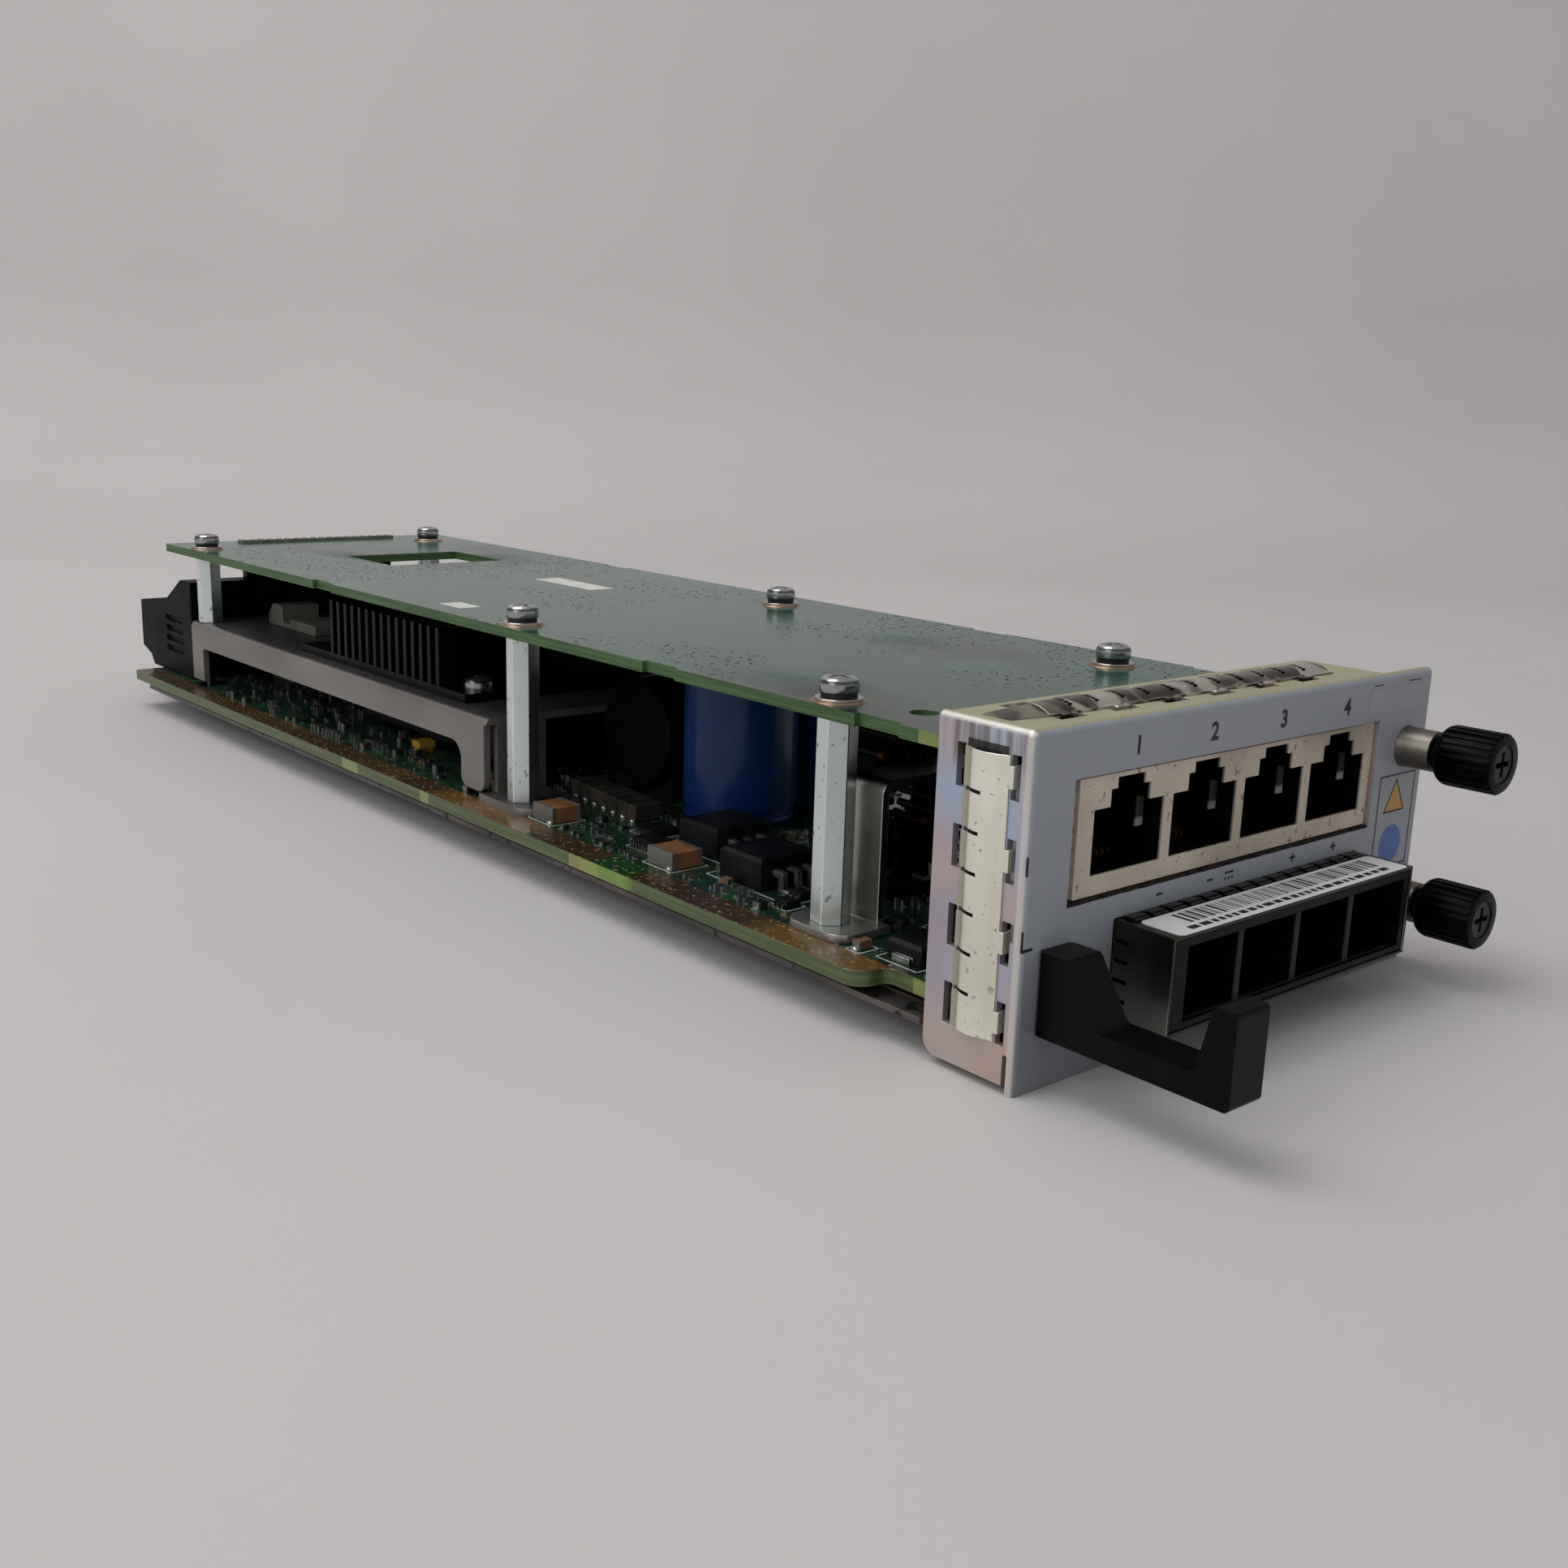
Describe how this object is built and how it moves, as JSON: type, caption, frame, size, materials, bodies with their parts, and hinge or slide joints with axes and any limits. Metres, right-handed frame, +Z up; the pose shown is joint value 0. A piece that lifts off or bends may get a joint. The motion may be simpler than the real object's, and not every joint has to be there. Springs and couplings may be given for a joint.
{
  "type": "power supply module",
  "caption": "Half-height plug-in power supply for a network chassis, with a grey front panel, pull handle, captive thumbscrews, power inlet, signal ports and two stacked circuit boards.",
  "frame": {"origin": "centre of the bounding box at its lowest face, on the floor under the front panel's lower edge", "axes": "+Y runs from the front panel to the backplane plug (the way the module is pushed in), +Z up away from the base plate, +X to the right as seen from the front panel"},
  "size_m": [0.0816, 0.3016, 0.0417],
  "materials": {
    "grey_paint": "satin",
    "plated_steel": "satin",
    "satin_aluminium": "satin",
    "black_anodised": "satin",
    "green_board": "satin",
    "clear_film": "satin",
    "black_plastic": "satin",
    "pale_plastic": "satin",
    "blue_sleeve": "gloss",
    "dark_chrome": "gloss",
    "tinned_metal": "satin",
    "gold_contact": "satin",
    "copper_wire": "gloss",
    "dark_ferrite": "matte",
    "tan_ceramic": "satin"
  },
  "bodies": {
    "root": {"backplane_plug": "black_plastic", "base_plate": "plated_steel", "base_screws": "plated_steel", "board_spacers": "plated_steel", "brick_pins": "tinned_metal", "bulk_capacitor": "blue_sleeve", "capacitor_saddle": "black_plastic", "choke_base": "black_plastic", "choke_core": "dark_ferrite", "choke_winding": "copper_wire", "clamp_diode": "black_plastic", "control_chips": "black_plastic", "converter_brick": "black_plastic", "flat_washers": "plated_steel", "front_bracket": "plated_steel", "front_panel": "grey_paint", "grey_capacitors": "dark_ferrite", "handle_screw": "plated_steel", "header_pins": "tinned_metal", "heatsink": "black_anodised", "heatsink_screws": "plated_steel", "inlet_blades": "tinned_metal", "inlet_housing": "black_plastic", "inlet_shield": "dark_chrome", "input_inductor": "dark_ferrite", "insulating_film": "clear_film", "jack_contacts": "gold_contact", "jack_insert": "black_plastic", "jack_shell": "plated_steel", "jack_tabs": "tinned_metal", "long_standoffs": "plated_steel", "lower_ferrule": "plated_steel", "lying_capacitor": "black_plastic", "main_board": "green_board", "panel_rivets": "plated_steel", "plug_contacts": "tinned_metal", "power_transistors": "black_plastic", "pull_handle": "black_plastic", "rear_bracket": "satin_aluminium", "rear_header": "black_plastic", "rear_standoffs": "plated_steel", "second_capacitor": "blue_sleeve", "side_gasket": "plated_steel", "split_washers": "plated_steel", "tan_capacitors": "tan_ceramic", "terminal_block": "pale_plastic", "top_board": "green_board", "top_board_chip": "black_plastic", "top_gasket": "plated_steel", "top_screws": "plated_steel", "upper_ferrule": "plated_steel"},
    "upper_slide": {"upper_retaining_ring": "plated_steel"},
    "upper_spin": {"upper_knob": "black_plastic", "upper_knob_screw": "plated_steel"},
    "lower_slide": {"lower_retaining_ring": "plated_steel"},
    "lower_spin": {"lower_knob": "black_plastic", "lower_knob_screw": "plated_steel"}
  },
  "joints": [
    {"name": "upper_screw_slide", "type": "slide", "parent": "root", "child": "upper_slide", "axis": [0, 1, 0], "range_m": [0, 0.0046], "stiffness_N_per_m": 150, "springref_m": -0.004},
    {"name": "upper_screw_spin", "type": "hinge", "parent": "upper_slide", "child": "upper_spin", "pos_m": [0.0362, -0.13115, 0.0305], "axis": [0, 1, 0], "continuous": true},
    {"name": "lower_screw_slide", "type": "slide", "parent": "root", "child": "lower_slide", "axis": [0, 1, 0], "range_m": [0, 0.0046], "stiffness_N_per_m": 150, "springref_m": -0.004},
    {"name": "lower_screw_spin", "type": "hinge", "parent": "lower_slide", "child": "lower_spin", "pos_m": [0.0362, -0.13115, 0.0098], "axis": [0, 1, 0], "continuous": true}
  ]
}
